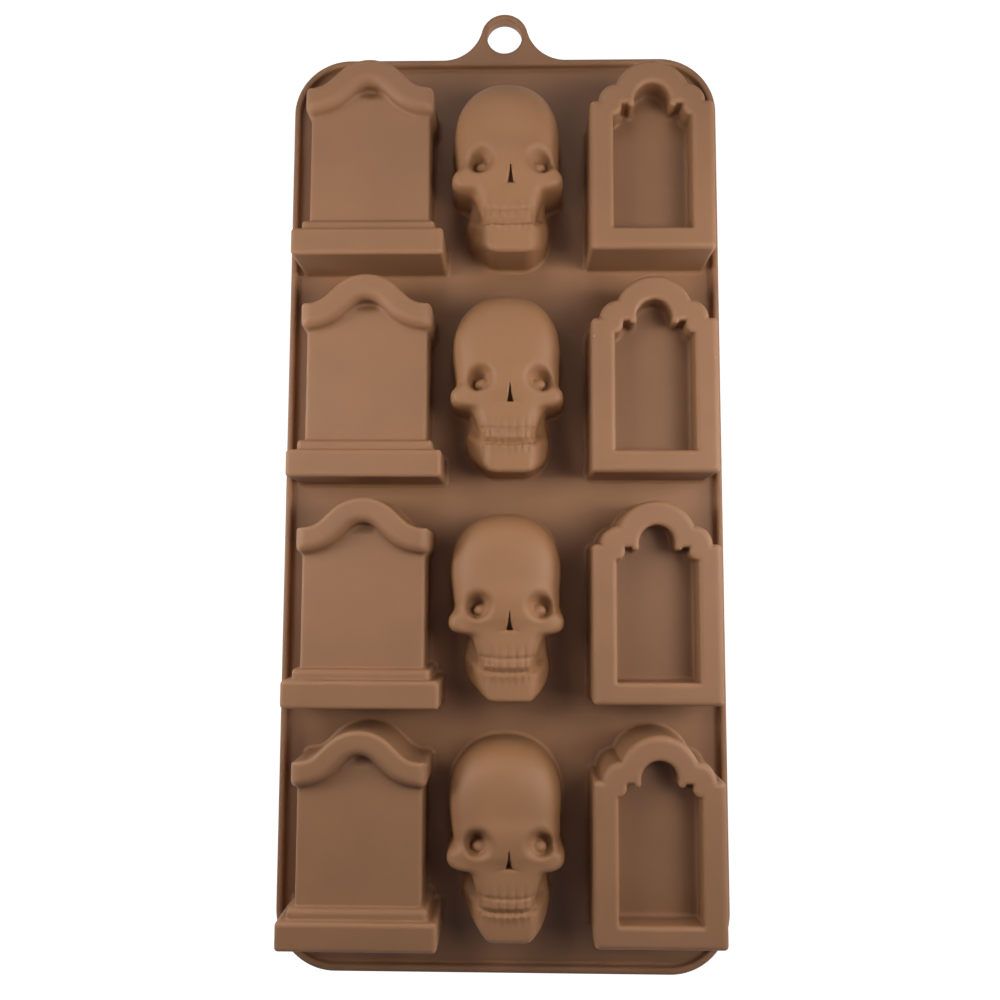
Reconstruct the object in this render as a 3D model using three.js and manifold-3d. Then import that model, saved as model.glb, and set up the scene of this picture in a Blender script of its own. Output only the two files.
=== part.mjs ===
// Silicone chocolate mould with twelve cavities: four rows of a headstone, a skull and an arched frame.
// It lies face down: the cavity mouths are at z = 0, the cups rise towards +Z, and +Y points
// to the hang tab. Sizes are millimetres.
// The moulding is one flexible sheet, so each row is a group that bends from the next one
// at the thin web between them, where the sheet and the rim leave a narrow gap.
import * as THREE from 'three';
import { mergeVertices } from 'three/addons/utils/BufferGeometryUtils.js';
import Module from 'manifold-3d';

// Sheet, rim and walls
const sheetThickness = 1.5;
const wallThickness = 1.5;
const rimWidth = 1.3;
const rimHeight = 2;
const trayCornerRadius = 14;

// Layout: margins run from the tray's edge to the cups, gaps from cup to cup
const rowCount = 4;
const rowGap = 4.6;
const topMargin = 8.1;
const bottomMargin = 9.7;
const leftMargin = 3.3;
const rightMargin = 3.5;
const headstoneToSkullGap = 1.4;
const skullToArchGap = 6.1;
const skullLift = 1;
const archLift = 1.1;

// All cups rise to one height above the back of the sheet
const cupHeight = 16.5;

// Headstone cup
const headstoneLength = 47.1;
const plinthWidth = 35.3;
const plinthLength = 6.3;
const mouldingWidth = 31;
const mouldingLength = 2.4;
const mouldingDrop = 1.4;
const panelWidth = 28;
const panelDrop = 3;
const corniceWidth = 30.2;
const corniceBand = 4.85;
const corniceArchRadius = 10;
const corniceFlankRadius = 6;
const corniceSteepAngle = THREE.MathUtils.degToRad(44);
const corniceEndAngle = THREE.MathUtils.degToRad(7);
const corniceSlopeLength = 3.3;

// Arch cup
const archWidth = 28.8;
const archLength = 45.4;
const archCrownRadius = 9;
const archLobeRadius = 4.1;
const archShoulderLedge = 2;
const archLobeDrop = 0.8;
const frameWidth = 5.2;
const frameFoot = 5.1;
const windowDepth = 6.5;
const windowCrownRadius = 4.1;
const windowCrownDrop = 0.6;
const windowHeadDrop = 1.7;
const windowLobeWidth = 2.2;
const windowLobeHeight = 3.1;

// Skull cup
const skullWidth = 26.6;
const skullLength = 44;
const skullWallPower = 3.6;
const skullRoundPower = 0.52;

// Skull face: places from the middle line and the chin's foot, reaches and depths
const socketX = 7.3;
const socketY = 22.3;
const socketReachX = 4.4;
const socketReachY = 4;
const socketDepth = 4.6;
const eyeY = 21.3;
const eyeReach = 2;
const eyeRise = 1.6;
const noseY = 18.6;
const noseReachX = 1.9;
const noseReachY = 3;
const noseDepth = 3;
const cheekboneX = 10.2;
const cheekboneY = 18.2;
const cheekboneReachX = 4.2;
const cheekboneReachY = 3.2;
const cheekboneRise = 1.8;
const hollowX = 9.4;
const hollowY = 12.6;
const hollowReachX = 3.6;
const hollowReachY = 5;
const hollowDepth = 3;
const mouthY = 7.5;
const mouthReachX = 7.6;
const mouthReachY = 1.2;
const mouthDepth = 0.5;

// Hang tab
const ringOuterRadius = 5.9;
const ringHoleRadius = 4.35;
const ringCentreReach = 6.1;
const tabFlareRadius = 10;

// Bending at the webs: how far the rows fan out and close up, and what stays clear then
const fanAngle = THREE.MathUtils.degToRad(40);
const closeAngle = THREE.MathUtils.degToRad(14);
const flexClearance = 0.2;

// Faceting
const curveSteps = 6;
const crownSteps = 14;
const skullOutsideSteps = [32, 20];
const skullCavitySteps = [18, 12];
const weldDistance = 1e-4;
const cutReach = 2;
const profileSearchSteps = 30;

// Sizes that follow
const rowLength = Math.max(headstoneLength, skullLift + skullLength, archLift + archLength);
const rowPitch = rowLength + rowGap;
const trayWidth = leftMargin + plinthWidth + headstoneToSkullGap + skullWidth + skullToArchGap
  + archWidth + rightMargin;
const trayLength = topMargin + rowCount * rowLength + (rowCount - 1) * rowGap + bottomMargin;
const tabReach = ringCentreReach + ringOuterRadius;
const trayTop = (trayLength + tabReach) / 2 - tabReach;
const headstoneX = -trayWidth / 2 + leftMargin + plinthWidth / 2;
const skullX = headstoneX + plinthWidth / 2 + headstoneToSkullGap + skullWidth / 2;
const archX = skullX + skullWidth / 2 + skullToArchGap + archWidth / 2;
const rimTop = sheetThickness + rimHeight;
const flexAxisZ = sheetThickness / 2;
const sheetFlexGap = 2 * flexAxisZ * Math.tan(fanAngle / 2) + flexClearance;
const rimFlexGap = 2 * (rimTop - flexAxisZ) * Math.tan(closeAngle / 2) + flexClearance;

const wasm = await Module();
wasm.setup();

const silicone = new THREE.MeshStandardMaterial({ color: 0x92694b, roughness: 0.62, metalness: 0 });

// Closed three.js geometry to a solid that can be cut and joined
function toSolid(geometry) {
  const plain = geometry.clone();
  plain.deleteAttribute('normal');
  plain.deleteAttribute('uv');
  const merged = mergeVertices(plain, weldDistance);
  return new wasm.Manifold(new wasm.Mesh({
    numProp: 3,
    vertProperties: merged.attributes.position.array,
    triVerts: Uint32Array.from(merged.index.array),
  }));
}

// Solid back to a three.js geometry
function toGeometry(solid) {
  const mesh = solid.getMesh();
  const geometry = new THREE.BufferGeometry();
  geometry.setAttribute('position', new THREE.BufferAttribute(mesh.vertProperties, 3));
  geometry.setIndex(new THREE.BufferAttribute(mesh.triVerts, 1));
  geometry.computeVertexNormals();
  return geometry;
}

// Upright prism of a plan shape between two heights
function prism(shape, low, high, steps = curveSteps) {
  const geometry = new THREE.ExtrudeGeometry(shape, {
    depth: high - low,
    bevelEnabled: false,
    curveSegments: steps,
  });
  geometry.translate(0, 0, low);
  return toSolid(geometry);
}

function polygon(points) {
  return new THREE.Shape(points.map(([x, y]) => new THREE.Vector2(x, y)));
}

function block(left, right, bottom, top, low, high) {
  return prism(polygon([[left, bottom], [right, bottom], [right, top], [left, top]]), low, high);
}

function disc(x, y, radiusX, radiusY, low, high) {
  const shape = new THREE.Shape();
  shape.absellipse(x, y, radiusX, radiusY, 0, 2 * Math.PI, false, 0);
  return prism(shape, low, high, crownSteps);
}

function joined(solids) {
  return solids.reduce((sum, solid) => sum.add(solid));
}

// A cup is made in its own place: x = 0 is its middle, y = 0 its foot line and z = 0 the back of
// the sheet. An inset of 0 gives its outside, and the wall's thickness gives its cavity,
// which reaches down through the sheet.
function cupFloor(inset) {
  return inset > 0 ? -sheetThickness - cutReach : 0;
}

// One half of the cornice's curve, moved in by an offset: crown arc, slope, flank arc and tip
function corniceHalfCurve(offset) {
  const crownY = headstoneLength - corniceArchRadius;
  const normal = [Math.sin(corniceSteepAngle), Math.cos(corniceSteepAngle)];
  const reach = corniceArchRadius + corniceFlankRadius;
  const flankX = reach * normal[0] + corniceSlopeLength * normal[1];
  const flankY = crownY + reach * normal[1] - corniceSlopeLength * normal[0];
  const points = [];
  for (let step = 0; step <= curveSteps; step += 1) {
    const angle = corniceSteepAngle * step / curveSteps;
    const radius = corniceArchRadius - offset;
    points.push([radius * Math.sin(angle), crownY + radius * Math.cos(angle)]);
  }
  for (let step = 0; step <= curveSteps; step += 1) {
    const angle = corniceSteepAngle + (corniceEndAngle - corniceSteepAngle) * step / curveSteps;
    const radius = corniceFlankRadius + offset;
    points.push([flankX - radius * Math.sin(angle), flankY - radius * Math.cos(angle)]);
  }
  const [lastX, lastY] = points[points.length - 1];
  const run = plinthWidth;
  points.push([lastX + run, lastY - run * Math.tan(corniceEndAngle)]);
  return points;
}

function corniceCurve(offset) {
  const right = corniceHalfCurve(offset);
  const left = right.slice(1).map(([x, y]) => [-x, y]);
  return [...left.reverse(), ...right];
}

function headstoneBody(inset) {
  const floor = cupFloor(inset);
  const top = cupHeight - inset;
  const headY = plinthLength + mouldingLength;
  const insideFoot = plinthLength / 2;
  const plinth = block(
    inset - plinthWidth / 2, plinthWidth / 2 - inset,
    inset, plinthLength - inset, floor, top,
  );
  const moulding = block(
    inset - mouldingWidth / 2, mouldingWidth / 2 - inset,
    insideFoot, headY - inset, floor, top - mouldingDrop,
  );
  const below = corniceCurve(corniceBand / 2);
  const wide = below[below.length - 1][0];
  const underCornice = polygon([[-wide, insideFoot], [wide, insideFoot], ...below.reverse()]);
  const field = prism(underCornice, floor, top - panelDrop);
  const panelSlab = block(
    inset - panelWidth / 2, panelWidth / 2 - inset,
    insideFoot, headstoneLength, floor, top - panelDrop,
  );
  const upper = corniceCurve(inset);
  const lower = corniceCurve(corniceBand - inset);
  const band = prism(polygon([...lower, ...upper.reverse()]), floor, top);
  const corniceSlab = block(
    inset - corniceWidth / 2, corniceWidth / 2 - inset,
    insideFoot, headstoneLength, floor, top,
  );
  return joined([plinth, moulding, field.intersect(panelSlab), band.intersect(corniceSlab)]);
}

function archBody(inset) {
  const floor = cupFloor(inset);
  const top = cupHeight - inset;
  const half = archWidth / 2;
  const crownY = archLength - archCrownRadius;
  const lobeX = half - archShoulderLedge - archLobeRadius;
  const lobeY = crownY - archLobeDrop;
  const trunk = block(inset - half, half - inset, inset, lobeY - inset, floor, top);
  const neck = block(-lobeX, lobeX, lobeY / 2, crownY, floor, top);
  const lobes = [-1, 1].map((side) => {
    const radius = archLobeRadius - inset;
    return disc(side * lobeX, lobeY, radius, radius, floor, top);
  });
  const lobeFeet = [-1, 1].map((side) => {
    const reach = side * (lobeX + archLobeRadius - inset);
    return block(Math.min(0, reach), Math.max(0, reach), lobeY / 2, lobeY, floor, top);
  });
  const crown = disc(0, crownY, archCrownRadius - inset, archCrownRadius - inset, floor, top);
  const bodyParts = joined([trunk, neck, crown, ...lobes, ...lobeFeet]);
  return bodyParts.subtract(archWindow(inset, crownY));
}

// The window's recess in the arch's face; grown by the inset it leaves the cavity its wall
function archWindow(inset, crownY) {
  const half = archWidth / 2 - frameWidth;
  const headY = crownY - windowHeadDrop;
  const bottom = cupHeight - windowDepth - inset;
  const above = cupHeight + cutReach;
  const field = block(-half - inset, half + inset, frameFoot - inset, headY + inset, bottom, above);
  const lobes = [-1, 1].map((side) => disc(
    side * (half + inset), headY + inset, windowLobeWidth, windowLobeHeight, bottom - cutReach, above,
  ));
  const crownRadius = windowCrownRadius + inset;
  const crown = disc(0, crownY - windowCrownDrop, crownRadius, crownRadius, bottom, above);
  return field.subtract(joined(lobes)).add(crown);
}

// Skull outline: half widths from the chin to the crown, as shares of the length and half width
const skullOutline = new THREE.SplineCurve([
  [0, 0.36], [0.04, 0.52], [0.12, 0.74], [0.24, 0.75], [0.34, 0.79], [0.43, 1], [0.49, 0.96],
  [0.56, 0.93], [0.71, 0.98], [0.83, 0.88], [0.93, 0.68], [1, 0.3],
].map(([share, width]) => new THREE.Vector2(share, width)));

// Skull profile: heights of the middle line from the chin to the crown, as shares
const skullProfile = new THREE.SplineCurve([
  [0, 0.74], [0.04, 0.82], [0.12, 0.9], [0.22, 0.94], [0.36, 0.91], [0.44, 0.96], [0.5, 1],
  [0.62, 0.99], [0.78, 0.9], [0.9, 0.7], [0.96, 0.5], [1, 0.28],
].map(([share, height]) => new THREE.Vector2(share, height)));

// Value of a profile curve at a share of the length
function profileAt(curve, share) {
  let low = 0;
  let high = 1;
  for (let step = 0; step < profileSearchSteps; step += 1) {
    const middle = (low + high) / 2;
    if (curve.getPoint(middle).x < share) {
      low = middle;
    } else {
      high = middle;
    }
  }
  return curve.getPoint(low).y;
}

// A smooth swelling of height 1 in its middle and 0 from its rim outwards
function swelling(x, y, centreX, centreY, reachX, reachY) {
  const spread = ((x - centreX) / reachX) ** 2 + ((y - centreY) / reachY) ** 2;
  return spread < 1 ? (1 - spread) ** 2 : 0;
}

// Relief of the face at a place on its plan
function faceRelief(x, y) {
  const side = Math.abs(x);
  const socket = socketDepth * swelling(side, y, socketX, socketY, socketReachX, socketReachY);
  const eye = eyeRise * swelling(side, y, socketX, eyeY, eyeReach, eyeReach);
  const nose = noseDepth * swelling(side, y, 0, noseY, noseReachX, noseReachY);
  const cheekbone = cheekboneRise
    * swelling(side, y, cheekboneX, cheekboneY, cheekboneReachX, cheekboneReachY);
  const hollow = hollowDepth * swelling(side, y, hollowX, hollowY, hollowReachX, hollowReachY);
  const mouth = mouthDepth * swelling(side, y, 0, mouthY, mouthReachX, mouthReachY);
  return cheekbone + eye - socket - nose - hollow - mouth;
}

// One cross-section of the skull, from its right foot over the face to its left foot
function skullSection(share, inset, steps) {
  const y = inset + (skullLength - 2 * inset) * share;
  const half = Math.max(profileAt(skullOutline, share) * skullWidth / 2 - inset, wallThickness / 2);
  const height = profileAt(skullProfile, share) * cupHeight - inset;
  const points = [];
  for (let step = 0; step <= steps; step += 1) {
    const across = 1 - 2 * step / steps;
    const up = (1 - Math.abs(across) ** skullWallPower) ** skullRoundPower;
    const x = half * across;
    points.push([x, y, up * (height + up * faceRelief(x, y))]);
  }
  return points;
}

// Closed solid of the skull's outside, or of its cavity, lofted from the chin to the crown
function skullBody(inset) {
  const floor = cupFloor(inset);
  const [stations, sectionSteps] = inset > 0 ? skullCavitySteps : skullOutsideSteps;
  const loops = [];
  for (let station = 0; station <= stations; station += 1) {
    const share = (1 - Math.cos(Math.PI * station / stations)) / 2;
    const section = skullSection(share, inset, sectionSteps);
    if (floor < 0) {
      const [rightX, y] = section[0];
      const [leftX] = section[section.length - 1];
      section.push([leftX, y, floor]);
      section.unshift([rightX, y, floor]);
    }
    loops.push(section);
  }
  const count = loops[0].length;
  const faces = [];
  for (let station = 0; station < stations; station += 1) {
    for (let step = 0; step < count; step += 1) {
      const here = station * count + step;
      const beside = station * count + (step + 1) % count;
      faces.push(here, here + count, beside, beside, here + count, beside + count);
    }
  }
  for (let step = 1; step < count - 1; step += 1) {
    const end = stations * count;
    faces.push(0, step, step + 1, end, end + step + 1, end + step);
  }
  const geometry = new THREE.BufferGeometry();
  geometry.setAttribute('position', new THREE.Float32BufferAttribute(loops.flat(2), 3));
  geometry.setIndex(faces);
  return toSolid(geometry);
}

// The three kinds of cup: where each stands in its row, its outside and its cavity
const cupKinds = [
  { name: 'headstone', x: headstoneX, lift: 0, body: headstoneBody },
  { name: 'skull', x: skullX, lift: skullLift, body: skullBody },
  { name: 'arch', x: archX, lift: archLift, body: archBody },
].map((kind) => {
  const cavity = kind.body(wallThickness);
  return {
    ...kind,
    y: kind.lift - rowLength / 2,
    cavity,
    geometry: toGeometry(kind.body(0).subtract(cavity)),
  };
});

// Plan outline of the tray, moved in by an inset, in the frame of a row
function trayOutline(rowY, inset) {
  const half = trayWidth / 2 - inset;
  const top = trayTop - rowY - inset;
  const bottom = trayTop - trayLength - rowY + inset;
  const radius = trayCornerRadius - inset;
  const shape = new THREE.Shape();
  shape.absarc(half - radius, top - radius, radius, 0, Math.PI / 2, false);
  shape.absarc(radius - half, top - radius, radius, Math.PI / 2, Math.PI, false);
  shape.absarc(radius - half, bottom + radius, radius, Math.PI, Math.PI * 1.5, false);
  shape.absarc(half - radius, bottom + radius, radius, Math.PI * 1.5, Math.PI * 2, false);
  return shape;
}

// A row's share of the tray, from half the flex gap inside one web to the next
function rowSlab(row, flexGap, low, high, left = -trayWidth, right = trayWidth) {
  const reach = rowPitch / 2 - flexGap / 2;
  const bottom = row === rowCount - 1 ? -trayLength : -reach;
  const top = row === 0 ? trayLength : reach;
  return block(left, right, bottom, top, low, high);
}

function sheetGeometry(row, rowY) {
  const plate = prism(trayOutline(rowY, 0), 0, sheetThickness);
  const strip = plate.intersect(rowSlab(row, sheetFlexGap, -cutReach, cupHeight));
  const cavities = cupKinds.map(({ x, y, cavity }) => cavity.translate([x, y, sheetThickness]));
  return toGeometry(strip.subtract(joined(cavities)));
}

function rimSolid(row, rowY, left, right) {
  const outer = prism(trayOutline(rowY, 0), sheetThickness, rimTop);
  const inner = prism(trayOutline(rowY, rimWidth), 0, rimTop + cutReach);
  return outer.subtract(inner).intersect(rowSlab(row, rimFlexGap, 0, rimTop + cutReach, left, right));
}

// Eyelet beyond the tray's end, flaring into its edge on both sides
function tabGeometry(rowY) {
  const edge = trayTop - rowY;
  const centreY = edge + ringCentreReach;
  const flareY = edge + tabFlareRadius;
  const flareX = Math.sqrt((ringOuterRadius + tabFlareRadius) ** 2 - (flareY - centreY) ** 2);
  const meeting = Math.atan2(flareY - centreY, flareX);
  const shape = new THREE.Shape();
  shape.moveTo(-flareX, edge);
  shape.lineTo(flareX, edge);
  shape.absarc(flareX, flareY, tabFlareRadius, -Math.PI / 2, meeting - Math.PI, true);
  shape.absarc(0, centreY, ringOuterRadius, meeting, Math.PI - meeting, false);
  shape.absarc(-flareX, flareY, tabFlareRadius, -meeting, -Math.PI / 2, true);
  const tab = prism(shape, 0, rimTop, crownSteps);
  const hole = disc(0, centreY, ringHoleRadius, ringHoleRadius, -cutReach, rimTop + cutReach);
  return toGeometry(tab.subtract(hole));
}

const mould = new THREE.Group();

function addPiece(parent, name, geometry, x = 0, y = 0, z = 0) {
  const piece = new THREE.Mesh(geometry, silicone);
  piece.name = name;
  piece.position.set(x, y, z);
  parent.add(piece);
}

for (let row = 0; row < rowCount; row += 1) {
  const number = row + 1;
  const rowY = trayTop - topMargin - rowLength / 2 - row * rowPitch;
  const group = new THREE.Group();
  group.position.y = rowY;
  mould.add(group);
  addPiece(group, `sheet_row_${number}`, sheetGeometry(row, rowY));
  if (row === 0 || row === rowCount - 1) {
    addPiece(group, `rim_row_${number}`, toGeometry(rimSolid(row, rowY, -trayWidth, trayWidth)));
  } else {
    addPiece(group, `rim_left_row_${number}`, toGeometry(rimSolid(row, rowY, -trayWidth, 0)));
    addPiece(group, `rim_right_row_${number}`, toGeometry(rimSolid(row, rowY, 0, trayWidth)));
  }
  if (row === 0) {
    addPiece(group, 'hang_tab', tabGeometry(rowY));
  }
  for (const { name, x, y, geometry } of cupKinds) {
    addPiece(group, `${name}_cup_${number}`, geometry, x, y, sheetThickness);
  }
}

export default mould;
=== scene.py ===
"""Soft brown silicone chocolate mould, lying face down: twelve hollow cups in four rows on one thin
tray with a raised rim and a hang tab. Every solid is written as a distance field in millimetres,
meshed on a fine grid and settled on its true surface, so that its edges can be moulded fillets."""
import math

import bmesh
import bpy
import numpy as np
from mathutils import Euler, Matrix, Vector


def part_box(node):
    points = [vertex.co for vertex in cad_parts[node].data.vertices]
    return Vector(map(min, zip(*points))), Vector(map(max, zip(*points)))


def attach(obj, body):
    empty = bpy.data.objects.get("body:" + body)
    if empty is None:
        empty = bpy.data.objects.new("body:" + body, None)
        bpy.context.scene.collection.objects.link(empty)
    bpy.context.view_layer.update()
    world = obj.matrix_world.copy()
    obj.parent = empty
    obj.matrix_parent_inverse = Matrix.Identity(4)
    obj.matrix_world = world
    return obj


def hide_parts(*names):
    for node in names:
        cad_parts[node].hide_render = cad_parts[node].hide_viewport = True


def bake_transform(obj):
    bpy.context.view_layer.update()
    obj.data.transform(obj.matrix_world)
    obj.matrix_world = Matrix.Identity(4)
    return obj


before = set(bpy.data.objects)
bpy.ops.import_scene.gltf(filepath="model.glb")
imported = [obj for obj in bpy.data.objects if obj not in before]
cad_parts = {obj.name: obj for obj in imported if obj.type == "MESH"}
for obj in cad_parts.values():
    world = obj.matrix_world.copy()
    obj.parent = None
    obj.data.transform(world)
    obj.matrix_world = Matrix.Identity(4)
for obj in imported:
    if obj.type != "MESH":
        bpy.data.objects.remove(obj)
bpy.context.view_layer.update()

# A millimetre in Blender's metres
MILLIMETRE = 0.001

# Sizes in millimetres that the frame doesn't give
WALL = 1.5
RIM_WIDTH = 1.6
TRAY_CORNER = 14.0
SKIRT_RADIUS = 1.0
SKIRT_SINK = 0.7
OUTSIDE_EDGE = 0.85
OUTSIDE_CREASE = 0.35
CAVITY_EDGE = 0.25
CAVITY_CREASE = 0.2
MOUTH_EDGE = 0.35
SEAM_STEP = 0.02

# Rows are numbered from the hang tab's end
ROW_COUNT = 4
ROWS = range(1, ROW_COUNT + 1)

HEADSTONE_LENGTH = 47.1
PLINTH_WIDTH = 35.3
PLINTH_LENGTH = 6.3
MOULDING_WIDTH = 31.0
MOULDING_LENGTH = 2.4
MOULDING_DROP = 1.4
MOULDING_BEAD = 1.15
PANEL_WIDTH = 28.0
PANEL_DROP = 3.0
CORNICE_WIDTH = 30.2
CORNICE_BAND = 4.85
CORNICE_ARCH_RADIUS = 10.0
CORNICE_FLANK_RADIUS = 6.0
CORNICE_STEEP = math.radians(44)
CORNICE_END = math.radians(7)
CORNICE_SLOPE = 3.3
CORNICE_TOP_CORNER = 0.9
CORNICE_LOW_CORNER = 1.9
CORNICE_LOW_EDGE = 2.4
CORNICE_LOW_SPREAD = 0.9
CORNICE_FOOT_CREASE = 1.0
HOLLOW_DEPTH = 1.7
HOLLOW_Y = 41.8
HOLLOW_REACH = (5.5, 3.6)

ARCH_WIDTH = 28.8
ARCH_LENGTH = 45.4
ARCH_CROWN_RADIUS = 9.0
ARCH_LOBE_RADIUS = 4.1
ARCH_LEDGE = 2.0
ARCH_LOBE_DROP = 0.8
FRAME_WIDTH = 5.3
FRAME_FOOT = 5.1
WINDOW_DEPTH = 6.5
WINDOW_CORNER = 0.15
WINDOW_CUSP = 0.1
WINDOW_CROWN_RADIUS = 4.1
WINDOW_CROWN_Y = 35.8
WINDOW_NOTCH_TOP = 34.9
WINDOW_LOBE_Y = 34.1
WINDOW_LOBE_WIDTH = 1.93
WINDOW_LOBE_HEIGHT = 2.1
WINDOW_SMALL_LOBE_X = 4.85
WINDOW_SMALL_LOBE_Y = 34.95
WINDOW_SMALL_LOBE_RADIUS = 0.78

# How much rounder than its other edges and creases some of the arch's are
ARCH_ROUNDING = 1.5
TRUNK_ROUNDING = 1.2
WINDOW_FOOT_ROUNDING = 2.6

COARSENING = 1.0
TRAY_STEP = 0.42 * COARSENING
CUP_STEP = 0.4 * COARSENING
SKULL_STEP = 0.33


def millimetres(corner):
    return np.array(corner) / MILLIMETRE


def cad_size(node):
    """Lowest and highest corner of a CAD node in millimetres."""
    low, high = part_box(node)
    return millimetres(low), millimetres(high)


# Places and heights that the frame gives
SHEET_HIGH = cad_size("sheet_row_1")[1]
RIM_HIGH = cad_size("rim_row_1")[1]
TAB_HIGH = cad_size("hang_tab")[1]
CUP_HIGH = cad_size("headstone_cup_1")[1]
SHEET_THICKNESS = SHEET_HIGH[2]
RIM_HEIGHT = RIM_HIGH[2] - SHEET_THICKNESS
CUP_HEIGHT = CUP_HIGH[2] - SHEET_THICKNESS
TRAY_HALF = SHEET_HIGH[0]
TRAY_TOP = SHEET_HIGH[1]
TRAY_BOTTOM = cad_size("sheet_row_4")[0][1]


# Distance fields: negative inside, in millimetres. A tiny length keeps slopes from a division by 0.
TINY = 1e-6


def rounded_overlap(first, second, radius):
    """What two solids share, its edge rounded off."""
    corner = np.hypot(np.maximum(first + radius, 0), np.maximum(second + radius, 0))
    return np.minimum(-radius, np.maximum(first, second)) + corner


def filleted_union(first, second, radius):
    """Two solids together, with a fillet in the crease between them."""
    corner = np.hypot(np.maximum(radius - first, 0), np.maximum(radius - second, 0))
    return np.maximum(radius, np.minimum(first, second)) - corner


def soft_union(first, second, width):
    """Two solids flowing into one another over a width."""
    share = np.clip(0.5 + 0.5 * (second - first) / width, 0, 1)
    return second + (first - second) * share - width * share * (1 - share)


def soft_cut(solid, tool, width):
    """A solid without a tool's form, its edge flowing over a width."""
    return -soft_union(-solid, tool, width)


def rectangle(x, y, left, right, bottom, top, radius):
    """Upright prism on a rectangle with rounded corners."""
    across = np.abs(x - (left + right) / 2) - (right - left) / 2
    along = np.abs(y - (bottom + top) / 2) - (top - bottom) / 2
    return rounded_overlap(across, along, radius)


def circle(x, y, centre_x, centre_y, radius):
    return np.hypot(x - centre_x, y - centre_y) - radius


def cornice_height(x, y):
    """Distance above the cornice's middle line: crown arc, slope, flank arc and tip."""
    side = np.abs(x)
    steep = np.array([math.sin(CORNICE_STEEP), math.cos(CORNICE_STEEP)])
    flat = np.array([math.sin(CORNICE_END), math.cos(CORNICE_END)])
    crown_y = HEADSTONE_LENGTH - CORNICE_ARCH_RADIUS
    crown_radius = CORNICE_ARCH_RADIUS - CORNICE_BAND / 2
    flank_radius = CORNICE_FLANK_RADIUS + CORNICE_BAND / 2
    reach = crown_radius + flank_radius
    flank_x = reach * steep[0] + CORNICE_SLOPE * steep[1]
    flank_y = crown_y + reach * steep[1] - CORNICE_SLOPE * steep[0]
    up, from_flank_x, from_flank_y = y - crown_y, side - flank_x, y - flank_y
    crown = np.hypot(side, up) - crown_radius
    slope = side * steep[0] + up * steep[1] - crown_radius
    flank = flank_radius - np.hypot(from_flank_x, from_flank_y)
    tip = from_flank_x * flat[0] + from_flank_y * flat[1] + flank_radius
    down_slope = side * steep[1] - up * steep[0]
    along_tip = from_flank_x * flat[1] - from_flank_y * flat[0]
    before = np.where(down_slope < 0, crown, slope)
    after = np.where(along_tip < 0, flank, tip)
    return np.where(down_slope < CORNICE_SLOPE, before, after)


def headstone(x, y, z, inset, edge, crease):
    """Plinth, moulding, sunk panel and curved cornice."""
    top = CUP_HEIGHT - inset
    inside_foot = PLINTH_LENGTH / 2
    head = PLINTH_LENGTH + MOULDING_LENGTH
    above = cornice_height(x, y)
    half_band = CORNICE_BAND / 2 - inset
    plinth = rectangle(x, y, inset - PLINTH_WIDTH / 2, PLINTH_WIDTH / 2 - inset,
                       inset, PLINTH_LENGTH - inset, edge)
    moulding = rectangle(x, y, inset - MOULDING_WIDTH / 2, MOULDING_WIDTH / 2 - inset,
                         inside_foot, head - inset, edge)
    panel = rounded_overlap(np.abs(x) - PANEL_WIDTH / 2 + inset, inside_foot - y, edge)
    panel = np.maximum(panel, above)
    end = np.abs(x) - CORNICE_WIDTH / 2 + inset
    upper = rounded_overlap(above - half_band, end, max(CORNICE_TOP_CORNER - inset, edge))
    lower = rounded_overlap(
        -above - half_band - CORNICE_LOW_SPREAD, end, max(CORNICE_LOW_CORNER - inset, edge),
    )
    cornice = np.maximum(
        rounded_overlap(upper, z - top, edge),
        rounded_overlap(lower, z - top, max(CORNICE_LOW_EDGE - inset, edge)),
    )
    moulding = rounded_overlap(moulding, z - top + MOULDING_DROP, max(MOULDING_BEAD - inset, edge))
    hollow = HOLLOW_DEPTH * bump(x, 0, HOLLOW_REACH[0]) * bump(y, HOLLOW_Y, HOLLOW_REACH[1])
    panel = rounded_overlap(panel, z - top + PANEL_DROP + hollow, edge)
    solid = rounded_overlap(plinth, z - top, edge)
    for part in (moulding, panel):
        solid = filleted_union(solid, part, crease)
    return filleted_union(solid, cornice, max(CORNICE_FOOT_CREASE - inset, crease))


def arch_window(x, y, inset):
    """Plan of the window: straight below, then a lobe, a notch, a small lobe and a round crown."""
    half = ARCH_WIDTH / 2 - FRAME_WIDTH
    side = np.abs(x)
    field = rectangle(x, y, -half, half, FRAME_FOOT, WINDOW_NOTCH_TOP, WINDOW_CORNER)
    below = np.minimum(y - WINDOW_LOBE_Y, 0)
    lobe = np.hypot(side - half, below * WINDOW_LOBE_WIDTH / WINDOW_LOBE_HEIGHT) - WINDOW_LOBE_WIDTH
    field = rounded_overlap(field, -lobe, WINDOW_CUSP)
    below = np.minimum(y - WINDOW_SMALL_LOBE_Y, 0)
    small_lobe = np.hypot(side - WINDOW_SMALL_LOBE_X, below) - WINDOW_SMALL_LOBE_RADIUS
    field = rounded_overlap(field, -small_lobe, WINDOW_CUSP)
    crown = circle(x, y, 0, WINDOW_CROWN_Y, WINDOW_CROWN_RADIUS)
    return filleted_union(field, crown, WINDOW_CUSP) - inset


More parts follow.
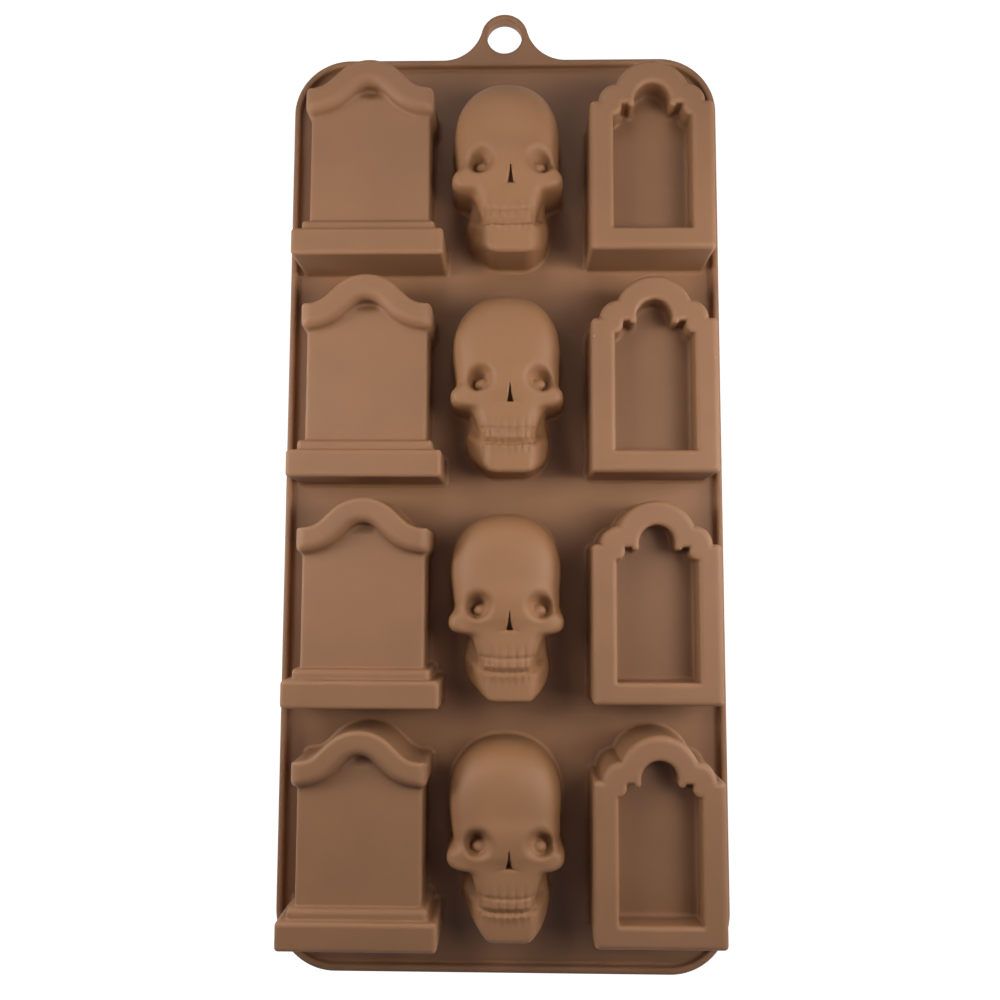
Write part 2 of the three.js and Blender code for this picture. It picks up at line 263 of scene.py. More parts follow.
def arch(x, y, z, inset, edge, crease):
    """Frame with a stepped and lobed head round a sunk window."""
    top = CUP_HEIGHT - inset
    half = ARCH_WIDTH / 2
    crown_y = ARCH_LENGTH - ARCH_CROWN_RADIUS
    lobe_x = half - ARCH_LEDGE - ARCH_LOBE_RADIUS
    lobe_y = crown_y - ARCH_LOBE_DROP
    side = np.abs(x)
    trunk = rectangle(x, y, inset - half, half - inset, inset, lobe_y - inset, TRUNK_ROUNDING * edge)
    lobe = circle(side, y, lobe_x, lobe_y, ARCH_LOBE_RADIUS - inset)
    crown = circle(x, y, 0, crown_y, ARCH_CROWN_RADIUS - inset)
    neck = rectangle(x, y, -lobe_x, lobe_x, lobe_y / 2, crown_y, edge)
    plan = np.minimum(np.minimum(trunk, neck), np.minimum(lobe, crown))
    solid = rounded_overlap(plan, z - top, ARCH_ROUNDING * edge)
    hollow = rounded_overlap(
        arch_window(x, y, inset), top - WINDOW_DEPTH - z, WINDOW_FOOT_ROUNDING * crease,
    )
    return rounded_overlap(solid, -hollow, edge)


def swelling(x, y, z, centre, reach, plan_power, side_power):
    """A round form on straight sides: higher powers make its plan or its sides boxier."""
    across = np.abs((x - centre[0]) / reach[0]) + TINY
    along = np.abs((y - centre[1]) / reach[1]) + TINY
    up = np.maximum(z - centre[2], 0) / reach[2] + TINY
    plan = (across ** plan_power + along ** plan_power) ** (1 / plan_power)
    spread = (plan ** side_power + up ** side_power) ** (1 / side_power)
    plan_slope = plan ** (1 - plan_power) * np.hypot(
        across ** (plan_power - 1) / reach[0], along ** (plan_power - 1) / reach[1])
    slope = spread ** (1 - side_power) * np.hypot(
        plan ** (side_power - 1) * plan_slope, up ** (side_power - 1) / reach[2])
    return (spread - 1) / slope


def ball(x, y, z, centre, reach):
    """An ellipsoid with a reach along each axis."""
    across, along, up = [
        (place - middle) / size for place, middle, size in zip((x, y, z), centre, reach)
    ]
    spread = np.sqrt(across ** 2 + along ** 2 + up ** 2) + TINY
    slope = np.sqrt((across / reach[0]) ** 2 + (along / reach[1]) ** 2 + (up / reach[2]) ** 2)
    return (spread - 1) / (slope / spread + TINY)


def bump(value, middle, reach):
    """1 at the middle, falling smoothly to 0 a reach away."""
    return np.clip(1 - ((value - middle) / reach) ** 2, 0, 1) ** 2


def step_up(value, start, end):
    """0 before the start and 1 after the end, smooth between them."""
    share = np.clip((value - start) / (end - start), 0, 1)
    return share * share * (3 - 2 * share)


# Skull: how far its middle, its face and its mouth stand off the line they are measured from
SKULL_SHIFT = 0.1
FACE_SHIFT = 0.88
MOUTH_SHIFT = -0.45

# Round forms of the skull: centre, reach, and the powers of the plan and the sides
CRANIUM = ((-0.1, 29.5, 3.0), (12.8, 13.5, 13.3), 2.2, 3.4)
BROW = ((0.3, 21.5, 4), (11.8, 6.5, 12.2), 2.6, 3.4)
CHEEKBONE = ((6.7, 18.05, 4), (6.5, 3.0, 10.7), 2.6, 6.0)
MUZZLE = ((0, 12.2, 5), (6.5, 8.5, 10.3), 4.0, 4.5)
JAW_BASE = ((0.1, 11, 2), (9.0, 7.5, 6.5), 4, 4)
SOCKET = ((7.15, 21.9, 18.6), (3.55, 3.4, 5.6))
SOCKET_BACK = ((7.45, 21.3, 13.5), (1.9, 2.1, 2.6))
EYEBALL = ((6.2, 20.7, 12.2), (2.0, 1.5, 1.7))

# Over what width each form flows into the rest
BROW_FLOW = 2.5
CHEEKBONE_FLOW = 1.9
MUZZLE_FLOW = 1.2
JAW_BASE_FLOW = 0.8
JAW_FLOW = 1.0
SOCKET_FLOW = 1.4
SOCKET_BACK_FLOW = 1.2
EYEBALL_FLOW = 0.4
NOSE_FLOW = 0.2

# The muzzle widens upwards from a place, over a length
MUZZLE_WIDENING = 0.05
MUZZLE_WIDENING_Y = 9.5
MUZZLE_WIDENING_LENGTH = 6

# Plan of the lower jaw: width and taper, slanted sides of the chin, foot and head
JAW_HALF_WIDTH = 10.1
JAW_TAPER = 0.2
JAW_TAPER_Y = 7
SLANT_ACROSS = 0.63
SLANT_ALONG = 0.777
SLANT_REACH = 2.55
SLANT_CORNER = 2.5
CHIN_SHIFT = 0.9
CHIN_SHIFT_Y = (8, 3)
CHIN_FOOT = 0.35
CHIN_FOOT_CORNER = 0.9
JAW_HEAD = 13.6
JAW_HEAD_CORNER = 1.0

# Height of the lower jaw: the chin's flat front falls to its sides, and the branches lie lower behind it
CHIN_X = 0.8
CHIN_FLAT_HALF = 4.1
CHIN_HEIGHT = 14.1
CHIN_RISE = 0.1
CHIN_RISE_END = 7
CHIN_FALL = 0.33
BRANCH_START = (6.0, 10.0)
BRANCH_LAG = 2.0
BRANCH_LAG_X = (6.5, 4.5)
BRANCH_HEIGHT = 9.9
BRANCH_FALL = 0.8
BRANCH_FALL_Y = 8.0
BRANCH_FALL_LENGTH = 3.5
CHIN_SHOULDER = 1.0
BRANCH_SHOULDER = 2.0

# Mouth: its line, and the gaps between the teeth above and below it
MOUTH_TOP = 8.25
MOUTH_Y = 6.9
MOUTH_FOOT = 6.35
MOUTH_DEPTH = 0.9
MOUTH_CURVE = 0.012
MOUTH_ENDS = (7.0, 5.0)
GUM_Y = 10.1
GUM_REACH = 0.7
GUM_DEPTH = 0.26
UPPER_TOOTH_PITCH = 1.9
UPPER_TOOTH_ROOTS = (14.0, 10.6)
UPPER_GAP_DEPTH = 0.28
LOWER_TOOTH_PITCH = 1.5
LOWER_TOOTH_ROOTS = (3.6, 5.8)
LOWER_GAP_DEPTH = 0.26
TEETH_HEIGHTS = (11, 12.5)

# Nose: a slit, and a curved line under it
NOSE_TOP = 21.4
NOSE_SPREAD = 0.102
NOSE_FLARE = 0.12
NOSE_FLARE_Y = 18.5
NOSE_FOOT = 16.65
NOSE_FLOOR = 13.2
NOSE_FLOOR_Y = 16.4
NOSE_FLOOR_RISE = 0.35
WING_Y = 16.5
WING_CURVE = 0.07
WING_DEPTH = 0.2
WING_REACH = 0.45
WING_ENDS = (2.9, 1.0)


def jaw(x, y, z):
    """Lower jaw: a flat front that falls away to both sides, on a slanted and straight-ended chin."""
    side = np.abs(x - SKULL_SHIFT)
    from_chin = np.abs(x - SKULL_SHIFT - CHIN_SHIFT * step_up(y, *CHIN_SHIFT_Y))
    slant = SLANT_ACROSS * from_chin - SLANT_ALONG * y - SLANT_REACH
    width = JAW_HALF_WIDTH - JAW_TAPER * np.maximum(y - JAW_TAPER_Y, 0)
    plan = rounded_overlap(side - width, slant, SLANT_CORNER)
    plan = rounded_overlap(plan, CHIN_FOOT - y, CHIN_FOOT_CORNER)
    plan = rounded_overlap(plan, y - JAW_HEAD, JAW_HEAD_CORNER)
    beyond = np.maximum(np.abs(x - CHIN_X) - CHIN_FLAT_HALF, 0)
    behind = step_up(y - BRANCH_LAG * step_up(side, *BRANCH_LAG_X), *BRANCH_START)
    chin = CHIN_HEIGHT + CHIN_RISE * np.minimum(y, CHIN_RISE_END) - CHIN_FALL * beyond ** 2
    branch = BRANCH_HEIGHT - BRANCH_FALL * np.clip(y - BRANCH_FALL_Y, 0, BRANCH_FALL_LENGTH)
    slope = (1 - behind) * (2 * CHIN_FALL) * beyond
    front = chin + (branch - chin) * behind
    shoulder = CHIN_SHOULDER + BRANCH_SHOULDER * behind
    return rounded_overlap(plan, (z - front) / np.sqrt(1 + slope ** 2), shoulder)


def tooth_gaps(x, pitch):
    """1 in the middle of each gap between two teeth, falling smoothly to 0 on the teeth."""
    return (0.5 + 0.5 * np.cos(2 * math.pi * x / pitch)) ** 2


def nose_wings(x, y):
    """How deep the curved line under the nose is cut."""
    line = y - WING_Y + WING_CURVE * x ** 2
    return WING_DEPTH * bump(line, 0, WING_REACH) * step_up(np.abs(x), *WING_ENDS)


def teeth(x, y):
    """How deep the mouth, the gum line and the gaps between the teeth are cut."""
    line = y - MOUTH_CURVE * x ** 2
    upper = step_up(line, MOUTH_Y, MOUTH_TOP) * step_up(line, *UPPER_TOOTH_ROOTS)
    lower = step_up(line, *LOWER_TOOTH_ROOTS) * step_up(line, MOUTH_TOP, MOUTH_Y)
    below = (line - MOUTH_FOOT) / (MOUTH_Y - MOUTH_FOOT)
    above = (MOUTH_TOP - line) / (MOUTH_TOP - MOUTH_Y)
    mouth = MOUTH_DEPTH * np.clip(np.minimum(below, above), 0, 1)
    gum = GUM_DEPTH * bump(line, GUM_Y, GUM_REACH)
    upper_gaps = UPPER_GAP_DEPTH * tooth_gaps(x, UPPER_TOOTH_PITCH) * upper
    lower_gaps = LOWER_GAP_DEPTH * tooth_gaps(x, LOWER_TOOTH_PITCH) * lower
    return step_up(np.abs(x), *MOUTH_ENDS) * (mouth + gum + upper_gaps + lower_gaps)


def nose(x, y, z):
    """Narrow slit of the nose, widening and deepening to its foot."""
    half = NOSE_SPREAD * (NOSE_TOP - y) + NOSE_FLARE * np.maximum(NOSE_FLARE_Y - y, 0)
    floor = NOSE_FLOOR + NOSE_FLOOR_RISE * (y - NOSE_FLOOR_Y)
    return np.maximum(np.maximum(np.abs(x) - half, NOSE_FOOT - y), floor - z)


def skull(x, y, z, inset, edge, crease):
    """Domed skull with sunk eyes, nose, cheekbones, jaws and, outside only, teeth. All its edges are
    soft, so it has no use for the edge and crease that the other cups take."""
    face = x - FACE_SHIFT
    side = np.abs(face)
    flank = np.abs(x - SKULL_SHIFT)
    widening = MUZZLE_WIDENING * np.clip(y - MUZZLE_WIDENING_Y, 0, MUZZLE_WIDENING_LENGTH)
    muzzle_x = (face - MOUTH_SHIFT) / (1 + widening)
    solid = swelling(x, y, z, *CRANIUM)
    for part, width in (
        (swelling(x, y, z, *BROW), BROW_FLOW),
        (swelling(flank, y, z, *CHEEKBONE), CHEEKBONE_FLOW),
        (swelling(muzzle_x, y, z, *MUZZLE), MUZZLE_FLOW),
        (swelling(x, y, z, *JAW_BASE), JAW_BASE_FLOW),
        (jaw(x, y, z), JAW_FLOW),
    ):
        solid = soft_union(solid, part, width)
    solid = soft_cut(solid, ball(side, y, z, *SOCKET), SOCKET_FLOW)
    solid = soft_cut(solid, ball(side, y, z, *SOCKET_BACK), SOCKET_BACK_FLOW)
    solid = soft_union(solid, ball(side, y, z, *EYEBALL), EYEBALL_FLOW)
    solid = soft_cut(solid, nose(face, y, z), NOSE_FLOW)
    if inset == 0:
        cut = teeth(face - MOUTH_SHIFT, y) + nose_wings(face, y)
        solid = solid + cut * step_up(z, *TEETH_HEIGHTS)
    return solid + inset


# Each kind of cup: its form and its grid step
CUP_KINDS = {
    "headstone": (headstone, CUP_STEP),
    "skull": (skull, SKULL_STEP),
    "arch": (arch, CUP_STEP),
}


# Height above the sheet's back below which a cup's outside goes straight down
LEAST_HEIGHT = 0.01


def cup_field(form):
    """A hollow cup whose skirt flows out over the sheet and is sunk a little into it."""
    def field(x, y, z):
        outside = form(x, y, np.maximum(z, LEAST_HEIGHT), 0, OUTSIDE_EDGE, OUTSIDE_CREASE)
        plan = form(x, y, np.zeros_like(z), 0, OUTSIDE_EDGE, OUTSIDE_CREASE)
        body = filleted_union(outside, z, SKIRT_RADIUS)
        body = np.maximum(body, plan - SKIRT_RADIUS)
        body = np.maximum(body, -SKIRT_SINK - z)
        cavity = form(x, y, np.maximum(z, 0), WALL, CAVITY_EDGE, CAVITY_CREASE)
        return np.maximum(body, -cavity)
    return field


# Meshing: the grid reaches some steps past the solid, and points settle by probing the field's slope
GRID_MARGIN = 2
CELL_CORNERS = 8
SETTLING_ROUNDS = 3
PROBE = 0.01
LEAST_STEEPNESS = 0.1
LEAST_LENGTH = 1e-9
LONGEST_MOVE = 0.4


def edge_crossings(value, axis):
    """Grid edges along an axis on which the field changes sign, and where on them it is 0."""
    first = [slice(None)] * 3
    second = [slice(None)] * 3
    first[axis], second[axis] = slice(0, -1), slice(1, None)
    low, high = value[tuple(first)], value[tuple(second)]
    cells = np.argwhere((low < 0) != (high < 0))
    low, high = low[tuple(cells.T)], high[tuple(cells.T)]
    return cells, low / (low - high), low < 0


def net(value):
    """Points in grid units and the four-sided faces of the surface between the grid's signs."""
    inside = (value < 0).astype(np.int8)
    count = sum(
        inside[i:inside.shape[0] - 1 + i, j:inside.shape[1] - 1 + j, k:inside.shape[2] - 1 + k]
        for i in (0, 1) for j in (0, 1) for k in (0, 1)
    )
    mixed = (count > 0) & (count < CELL_CORNERS)
    number = np.full(mixed.shape, -1, np.int64)
    total = int(mixed.sum())
    number[mixed] = np.arange(total)
    place, hits, faces = np.zeros((total, 3)), np.zeros(total), []
    for axis in range(3):
        cells, share, outward = edge_crossings(value, axis)
        spot = cells.astype(float)
        spot[:, axis] += share
        ring = []
        for back_u, back_v in ((0, 0), (1, 0), (1, 1), (0, 1)):
            cell = cells.copy()
            cell[:, (axis + 1) % 3] -= back_u
            cell[:, (axis + 2) % 3] -= back_v
            corner = number[tuple(cell.T)]
            ring.append(corner)
            hits += np.bincount(corner, minlength=total)
            for part in range(3):
                place[:, part] += np.bincount(corner, spot[:, part], total)
        ring = np.stack(ring, 1)
        faces.append(np.where(outward[:, None], ring, ring[:, ::-1]))
    return place / hits[:, None], np.concatenate(faces)


def settle(field, points, step):
    """Moves points onto the field's surface along its slope, each time by part of a step at most."""
    for _ in range(SETTLING_ROUNDS):
        here = field(*points.T)
        slope = np.stack([
            (field(*(points + shift).T) - here) / PROBE
            for shift in np.eye(3) * PROBE
        ], 1)
        steepness = np.maximum((slope ** 2).sum(1), LEAST_STEEPNESS)
        move = -slope * (here / steepness)[:, None]
        length = np.maximum(np.linalg.norm(move, axis=1), LEAST_LENGTH)
        move *= np.minimum(1, LONGEST_MOVE * step / length)[:, None]
        points = points + move
    return points


def field_mesh(name, field, low, high, step):
    """Blender mesh, in metres, of the solid that a field describes."""
    margin = GRID_MARGIN * step
    axes = [np.arange(start - margin, end + margin, step) for start, end in zip(low, high)]
    x, y, z = np.meshgrid(*axes, indexing="ij", sparse=True)
    value = np.array(np.broadcast_to(field(x, y, z), [len(places) for places in axes]))
    place, faces = net(value)
    points = place * step + np.array([places[0] for places in axes])
    points = settle(field, points, step)
    mesh = bpy.data.meshes.new(name)
    mesh.from_pydata((points * MILLIMETRE).tolist(), [], faces.tolist())
    mesh.shade_smooth()
    mesh.update()
    mesh.validate()
    return mesh


def add_object(name, data):
    """An object that shows a mesh, or holds a camera or a light, put into the scene."""
    added = bpy.data.objects.new(name, data)
    bpy.context.scene.collection.objects.link(added)
    return added


# Room round a cup's skirt in its mesh's box, besides the grid's own margin
SKIRT_MARGIN = 0.5


def cup_place(kind, row):
    """Where a cup stands: the middle of its CAD node's width and its foot line."""
    low, high = cad_size(f"{kind}_cup_{row}")
    return np.array([(low[0] + high[0]) / 2, low[1], SHEET_THICKNESS])


def make_cups(materials):
    """One mesh for each kind of cup, shown by a piece in every row."""
    for kind, (form, step) in CUP_KINDS.items():
        low, high = cad_size(f"{kind}_cup_1")
        width, length = high[0] - low[0], high[1] - low[1]
        reach = SKIRT_RADIUS + SKIRT_MARGIN
        mesh = field_mesh(
            f"{kind}_mesh", cup_field(form),
            (-width / 2 - reach, -reach, -SKIRT_SINK),
            (width / 2 + reach, length + reach, CUP_HEIGHT), step,
        )
        mesh.materials.append(materials[kind])
        for row in ROWS:
            cup = add_object(f"moulded_{kind}_{row}", mesh)
            cup.location = Vector(cup_place(kind, row) * MILLIMETRE)
            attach(cup, f"row_{row}")
            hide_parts(f"{kind}_cup_{row}")


# Tray

TAB_OUTER = 5.9
TAB_HOLE = 4.35
TAB_FLARE = 10.0
RIM_EDGE = 0.6
RIM_CREASE = 0.45
SHEET_EDGE = 0.5


def tab_plan(x, y):
    """Eyelet ring that flares into the tray's end."""
    centre_y = TAB_HIGH[1] - TAB_OUTER
    flare_y = TRAY_TOP + TAB_FLARE
    flare_x = math.sqrt((TAB_OUTER + TAB_FLARE) ** 2 - (flare_y - centre_y) ** 2)
    meet_y = centre_y + (flare_y - centre_y) * TAB_OUTER / (TAB_OUTER + TAB_FLARE)
    side = np.abs(x)
    neck = rectangle(x, y, -flare_x, flare_x, TRAY_TOP - 2 * RIM_WIDTH, meet_y, 0)
    neck = np.maximum(neck, -circle(side, y, flare_x, flare_y, TAB_FLARE))
    ring = circle(x, y, 0, centre_y, TAB_OUTER)
    return np.minimum(neck, ring), -circle(x, y, 0, centre_y, TAB_HOLE)


def cavity_mouths(x, y):
    """Plan of all twelve mouths in the sheet, worked out in the frame of the nearest row."""
    first, second = cup_place("headstone", 1), cup_place("headstone", 2)
    pitch = first[1] - second[1]
    middle = first[1] + HEADSTONE_LENGTH / 2
    row = np.clip(np.round((middle - y) / pitch), 0, ROW_COUNT - 1)
    level = np.zeros(1)
    mouths = [
        form(x - cup_place(kind, 1)[0], y + row * pitch - cup_place(kind, 1)[1], level,
             WALL + SEAM_STEP, CAVITY_EDGE, CAVITY_CREASE)
        for kind, (form, _) in CUP_KINDS.items()
    ]
    return np.minimum(np.minimum(mouths[0], mouths[1]), mouths[2])


def tray_field(x, y, z):
    """Sheet, rim and hang tab, with the mouths cut through; z is 0 at the sheet's front."""
    outline = rectangle(x, y, -TRAY_HALF, TRAY_HALF, TRAY_BOTTOM, TRAY_TOP, TRAY_CORNER)
    tab, eyelet = tab_plan(x, y)
    rim_top = SHEET_THICKNESS + RIM_HEIGHT
    edge_band = rounded_overlap(outline, -outline - RIM_WIDTH, 0)
    raised = np.minimum(edge_band, np.maximum(tab, -outline - RIM_WIDTH))
    rim = rounded_overlap(raised, z - rim_top, RIM_EDGE)
    sheet = np.maximum(outline, z - SHEET_THICKNESS)
    solid = filleted_union(rim, sheet, RIM_CREASE)
    whole = np.minimum(outline, tab)
    solid = rounded_overlap(solid, np.maximum(whole, -z), 0)
    solid = np.maximum(solid, rounded_overlap(whole, -z, SHEET_EDGE))
    solid = rounded_overlap(solid, eyelet, RIM_EDGE)
    return rounded_overlap(solid, -cavity_mouths(x, y), MOUTH_EDGE)


# Half a flexing web's length in millimetres, and how near a cut a point counts as on it in metres
WEB_HALF = 1.3
CUT_TOLERANCE = 1e-7


def slice_of(mesh, name, bottom, top):
    """The part of a mesh between two cuts across the tray, each cut closed flat."""
    work = bmesh.new()
    work.from_mesh(mesh)
    for level, side in ((bottom, -1), (top, 1)):
        if level is None:
            continue
        cut = bmesh.ops.bisect_plane(
            work, geom=work.verts[:] + work.edges[:] + work.faces[:], dist=CUT_TOLERANCE,
            plane_co=(0, level * MILLIMETRE, 0), plane_no=(0, side, 0), clear_outer=True,
        )
        outline = [item for item in cut["geom_cut"] if isinstance(item, bmesh.types.BMEdge)]
        for face in bmesh.ops.contextual_create(work, geom=outline)["faces"]:
            face.smooth = False
            for edge in face.edges:
                edge.smooth = False
    bmesh.ops.recalc_face_normals(work, faces=work.faces[:])
    part = bpy.data.meshes.new(name)
    work.to_mesh(part)
    work.free()
    return part


def web_middles():
    """Where each web's middle lies along the tray, from the hang tab's end."""
    middles = []
    for row in ROWS[:-1]:
        above = cad_size(f"headstone_cup_{row}")[0][1]
        below = cad_size(f"headstone_cup_{row + 1}")[1][1]
        middles.append((above + below) / 2)
    return middles


def make_strip(whole, row, webs, material):
    """Rigid length of the tray round one row of cups."""
    bottom = webs[row - 1] + WEB_HALF if row < ROW_COUNT else None
    top = webs[row - 2] - WEB_HALF if row > 1 else None
    strip = slice_of(whole, f"moulded_tray_{row}", bottom, top)
    strip.materials.append(material)
    piece = add_object(f"moulded_tray_{row}", strip)
    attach(piece, f"row_{row}")
    sides = [f"rim_row_{row}"] if row in (1, ROW_COUNT) else [f"rim_left_row_{row}", f"rim_right_row_{row}"]
    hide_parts(f"sheet_row_{row}", *sides, *(["hang_tab"] if row == 1 else []))


def make_web(whole, row, web, material):
    """Length of the tray between a row and the next, a piece of its own that neither row carries."""
    strip = slice_of(whole, f"flexing_web_{row}", web - WEB_HALF, web + WEB_HALF)
    strip.materials.append(material)
    piece = add_object(f"flexing_web_{row}", strip)
    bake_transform(piece)


def make_tray(material):
    """The tray in seven lengths: one rigid strip for each row, and a web between rows."""
    low = (-TRAY_HALF, TRAY_BOTTOM, 0)
    high = (TRAY_HALF, TAB_HIGH[1], SHEET_THICKNESS + RIM_HEIGHT)
    whole = field_mesh("tray_mesh", tray_field, low, high, TRAY_STEP)
    webs = web_middles()
    for row in ROWS:
        make_strip(whole, row, webs, material)
    for row, web in enumerate(webs, start=1):
        make_web(whole, row, web, material)
    bpy.data.meshes.remove(whole)


# Material: colours are linear, heights and depths are in metres

WHITE = (1, 1, 1, 1)
BLACK = (0, 0, 0, 1)
SILICONE_COLOUR = (0.2575, 0.1225, 0.0535)
# The skull cups take the silicone colour painted lighter: painted light, as the mould is one silicone
SKULL_LIT_COLOUR = (0.290, 0.136, 0.0555)
SILICONE_ROUGHNESS = 0.6
SILICONE_SPECULAR = 0.4

# Faint mottling
MOTTLING = 0.05
MOTTLING_SCALE = 70
MOTTLING_DETAIL = 3
MOTTLING_RANGE = (0.3, 0.7)

# Painted highlights: convex edges near the cups' closed ends made paler
EDGE_HIGHLIGHT = 1.2
EDGE_POINTINESS = (0.505, 0.54)
EDGE_HEIGHTS = (0.012, 0.013)

# Specks of dust
SPECK_COLOUR = (0.55, 0.45, 0.36, 1)
SPECK_SCALE = 400
SPECK_REACH = 0.07
SPECK_CORE = 0.6
SPECK_SHARE = 0.05
SPECK_SHARE_FADE = 0.01

# Fine grain
GRAIN_SCALE = 2500
GRAIN_DETAIL = 4
GRAIN_STRENGTH = 0.08
GRAIN_DEPTH = 0.0002


def noise(tree, place, scale, detail):
    node = tree.nodes.new("ShaderNodeTexNoise")
    node.inputs["Scale"].default_value = scale
    node.inputs["Detail"].default_value = detail
    tree.links.new(place, node.inputs["Vector"])
    return node.outputs["Fac"]


def ramp(tree, value, positions, colours):
    """A colour that changes with a value, from the first of two positions to the second."""
    node = tree.nodes.new("ShaderNodeValToRGB")
    for element, position, colour in zip(node.color_ramp.elements, positions, colours):
        element.position = position
        element.color = colour
    tree.links.new(value, node.inputs["Fac"])
    return node.outputs["Color"]


def mix(tree, kind, factor, first, second):
    """A mix of two colours, each of them and the factor either a socket or a constant."""
    node = tree.nodes.new("ShaderNodeMix")
    node.data_type = "RGBA"
    node.blend_type = kind
    for value, name in ((factor, "Factor_Float"), (first, "A_Color"), (second, "B_Color")):
        socket = next(item for item in node.inputs if item.identifier == name)
        if isinstance(value, bpy.types.NodeSocket):
            tree.links.new(value, socket)
        else:
            socket.default_value = value
    return next(item for item in node.outputs if item.identifier == "Result_Color")


def mottled(tree, place, colour):
    """The colour, a little darker and lighter from place to place."""
    shades = [[part * share for part in colour] + [1] for share in (1 - MOTTLING, 1 + MOTTLING)]
    return ramp(tree, noise(tree, place, MOTTLING_SCALE, MOTTLING_DETAIL), MOTTLING_RANGE, shades)


def with_painted_edge_highlights(tree, own_place, body, highlight_gain):
    """The colour, multiplied paler at the convex edges near a cup's closed end: a painted highlight."""
    pointed = tree.nodes.new("ShaderNodeNewGeometry").outputs["Pointiness"]
    # Painted highlight: pointed, convex places are made paler
    edges = ramp(tree, pointed, EDGE_POINTINESS, (WHITE, [highlight_gain] * 3 + [1]))
    height = tree.nodes.new("ShaderNodeSeparateXYZ")
    tree.links.new(own_place, height.inputs[0])
    near_top = ramp(tree, height.outputs["Z"], EDGE_HEIGHTS, (BLACK, WHITE))
    return mix(tree, "MULTIPLY", near_top, body, edges)


def speck_mask(tree, place):
    """White on a few small specks and black elsewhere."""
    cells = tree.nodes.new("ShaderNodeTexVoronoi")
    cells.inputs["Scale"].default_value = SPECK_SCALE
    tree.links.new(place, cells.inputs["Vector"])
    reach = (SPECK_REACH * SPECK_CORE, SPECK_REACH)
    near = ramp(tree, cells.outputs["Distance"], reach, (WHITE, BLACK))
    share = (SPECK_SHARE, SPECK_SHARE + SPECK_SHARE_FADE)
    chosen = ramp(tree, cells.outputs["Color"], share, (WHITE, BLACK))
    return mix(tree, "MULTIPLY", 1.0, near, chosen)


def add_grain(tree, place, shader):
    """Fine unevenness of the moulded surface."""
    grain = tree.nodes.new("ShaderNodeBump")
    grain.inputs["Strength"].default_value = GRAIN_STRENGTH
    grain.inputs["Distance"].default_value = GRAIN_DEPTH
    tree.links.new(noise(tree, place, GRAIN_SCALE, GRAIN_DETAIL), grain.inputs["Height"])
    tree.links.new(grain.outputs["Normal"], shader.inputs["Normal"])


def silicone_material(name, colour, edge_highlight=1.0):
    """Matt moulded silicone: faint mottling, a fine grain, specks of dust and, if asked for, edges painted
    paler as a highlight.
    Each piece's own random value shifts its mottling and specks."""
    material = bpy.data.materials.new(name)
    material.use_nodes = True
    tree = material.node_tree
    shader = tree.nodes["Principled BSDF"]
    shift = tree.nodes.new("ShaderNodeVectorMath")
    own_place = tree.nodes.new("ShaderNodeTexCoord").outputs["Object"]
    tree.links.new(own_place, shift.inputs[0])
    tree.links.new(tree.nodes.new("ShaderNodeObjectInfo").outputs["Random"], shift.inputs[1])
    place = shift.outputs["Vector"]
    body = with_painted_edge_highlights(tree, own_place, mottled(tree, place, colour), edge_highlight)
    dusted = mix(tree, "MIX", speck_mask(tree, place), body, SPECK_COLOUR)
    tree.links.new(dusted, shader.inputs["Base Color"])
    shader.inputs["Roughness"].default_value = SILICONE_ROUGHNESS
    shader.inputs["Specular IOR Level"].default_value = SILICONE_SPECULAR
    add_grain(tree, place, shader)
    return material


# Camera, lights and room

# The photograph's camera: place in millimetres, turn in degrees, and its sensor and lens
CAMERA_PLACE = (2.766, -25.70, 223.904)
CAMERA_TURN = (5.0857, 1.1309, 0.211)
SENSOR = 36.0
LENS_SHARE = 0.92186
CAMERA_SHIFT = (0.00376, -0.00328)
CAMERA_CLIP = (0.005, 50)


def make_camera():
    data = bpy.data.cameras.new("camera")
    camera = add_object("camera", data)
    camera.location = Vector(CAMERA_PLACE) * MILLIMETRE
    camera.rotation_euler = Euler([math.radians(angle) for angle in CAMERA_TURN])
    data.sensor_width = SENSOR
    data.lens = LENS_SHARE * SENSOR
    data.shift_x, data.shift_y = CAMERA_SHIFT
    data.clip_start, data.clip_end = CAMERA_CLIP
    bpy.context.scene.camera = camera


# Panels of light round the mould: place, level width and slanting length in metres, and power in watts
SOFT_LIGHTS = {
    "right_strip": ((0.13, 0.012, 0.098), 0.07, 0.16, 0.11),
    "left_strip": ((-0.13, 0.017, 0.098), 0.07, 0.16, 0.122),
    "right_high": ((0.12, 0.0, 0.20), 0.08, 0.08, 0.061),
    "left_high": ((-0.12, 0.0, 0.20), 0.08, 0.08, 0.035),
    "right_low": ((0.35, 0.0, 0.12), 0.08, 0.08, 0.42),
    "left_low": ((-0.35, 0.0, 0.12), 0.08, 0.08, 0.47),
    "key": ((0.24, -0.03, 0.26), 0.12, 0.12, 0.27),
    "back": ((0.0, 0.24, 0.22), 0.12, 0.12, 0.145),
    "back_left": ((-0.16, 0.16, 0.20), 0.1, 0.1, 0.071),
    "front": ((0.0, -0.35, 0.30), 0.12, 0.12, 0.077),
}
AIM_HEIGHT = 0.01
WORLD_COLOUR = (0.3, 0.4, 1, 1)
WORLD_STRENGTH = 0.1


def soft_light(name, place, width, length, power):
    """A panel of light, aimed at the mould's middle line halfway between its middle and the panel."""
    data = bpy.data.lights.new(name, "AREA")
    data.shape = "RECTANGLE"
    data.size = width
    data.size_y = length
    data.energy = power
    light = add_object(name, data)
    light.location = place
    target = Vector((0, place[1] / 2, AIM_HEIGHT))
    light.rotation_euler = (Vector(place) - target).to_track_quat("Z", "Y").to_euler()


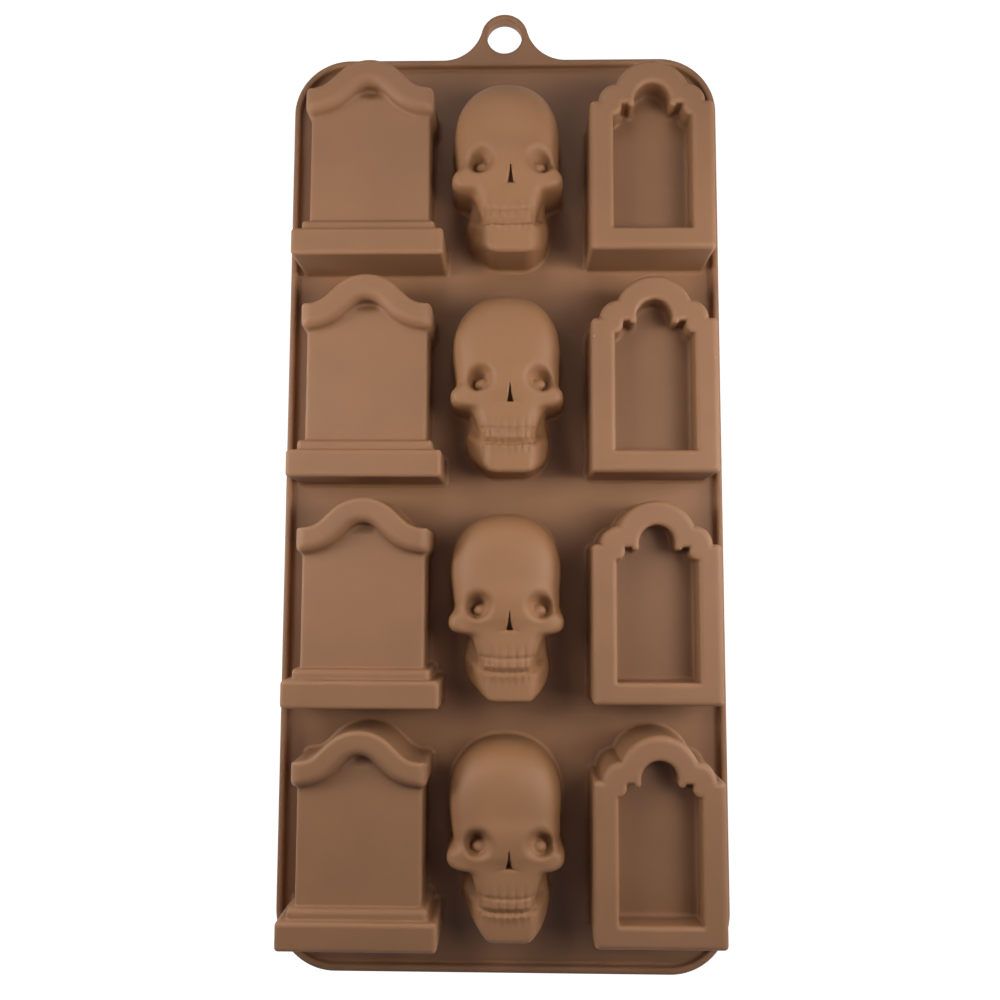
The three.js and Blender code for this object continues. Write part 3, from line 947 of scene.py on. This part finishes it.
def make_studio():
    """The panels, in a world with a faint blue light."""
    scene = bpy.context.scene
    scene.view_settings.view_transform = "Standard"
    world = bpy.data.worlds.new("studio")
    world.use_nodes = True
    world.node_tree.nodes["Background"].inputs["Color"].default_value = WORLD_COLOUR
    world.node_tree.nodes["Background"].inputs["Strength"].default_value = WORLD_STRENGTH
    scene.world = world
    for name, (place, width, length, power) in SOFT_LIGHTS.items():
        soft_light(f"{name}_light", place, width, length, power)


# Plain pale room, in metres: the floor lies clear of the rows when the mould bends
FLOOR_LEVEL = -0.5
ROOM_HALF = 5.0
ROOM_SHADE = (0.45, 0.45, 0.45, 1)
ROOM_ROUGHNESS = 0.9
ROOM_GLOW = 1.0


def pale_surface(name, corners, faces):
    """Matt pale surface that glows as the photograph's background does."""
    mesh = bpy.data.meshes.new(name)
    mesh.from_pydata(corners, [], faces)
    surface = add_object(name, mesh)
    material = bpy.data.materials.new(f"pale_{name}")
    material.use_nodes = True
    shader = material.node_tree.nodes["Principled BSDF"]
    shader.inputs["Base Color"].default_value = ROOM_SHADE
    shader.inputs["Roughness"].default_value = ROOM_ROUGHNESS
    shader.inputs["Emission Color"].default_value = WHITE
    shader.inputs["Emission Strength"].default_value = ROOM_GLOW
    mesh.materials.append(material)
    return surface


def make_room():
    """Floor, and a backdrop of walls and ceiling that is only seen and lights nothing."""
    ring = [
        (-ROOM_HALF, -ROOM_HALF), (ROOM_HALF, -ROOM_HALF),
        (ROOM_HALF, ROOM_HALF), (-ROOM_HALF, ROOM_HALF),
    ]
    low = [(x, y, FLOOR_LEVEL) for x, y in ring]
    high = [(x, y, ROOM_HALF) for x, y in ring]
    pale_surface("floor", low, [(0, 1, 2, 3)])
    walls = [(side, (side + 1) % 4, (side + 1) % 4 + 4, side + 4) for side in range(4)]
    backdrop = pale_surface("backdrop", low + high, walls + [(4, 5, 6, 7)])
    backdrop.visible_diffuse = False
    backdrop.visible_glossy = False
    backdrop.visible_transmission = False
    backdrop.visible_shadow = False


make_camera()
# Headstones and arches: painted highlights on their edges near the closed ends
edge_highlit_silicone = silicone_material("edge_highlit_silicone", SILICONE_COLOUR, EDGE_HIGHLIGHT)
# Skulls: the silicone colour painted lighter, which is painted light; no edge highlights
lit_skull_silicone = silicone_material("lit_skull_silicone", SKULL_LIT_COLOUR)
make_cups({"headstone": edge_highlit_silicone, "skull": lit_skull_silicone, "arch": edge_highlit_silicone})
make_tray(silicone_material("silicone", SILICONE_COLOUR))
make_studio()
make_room()
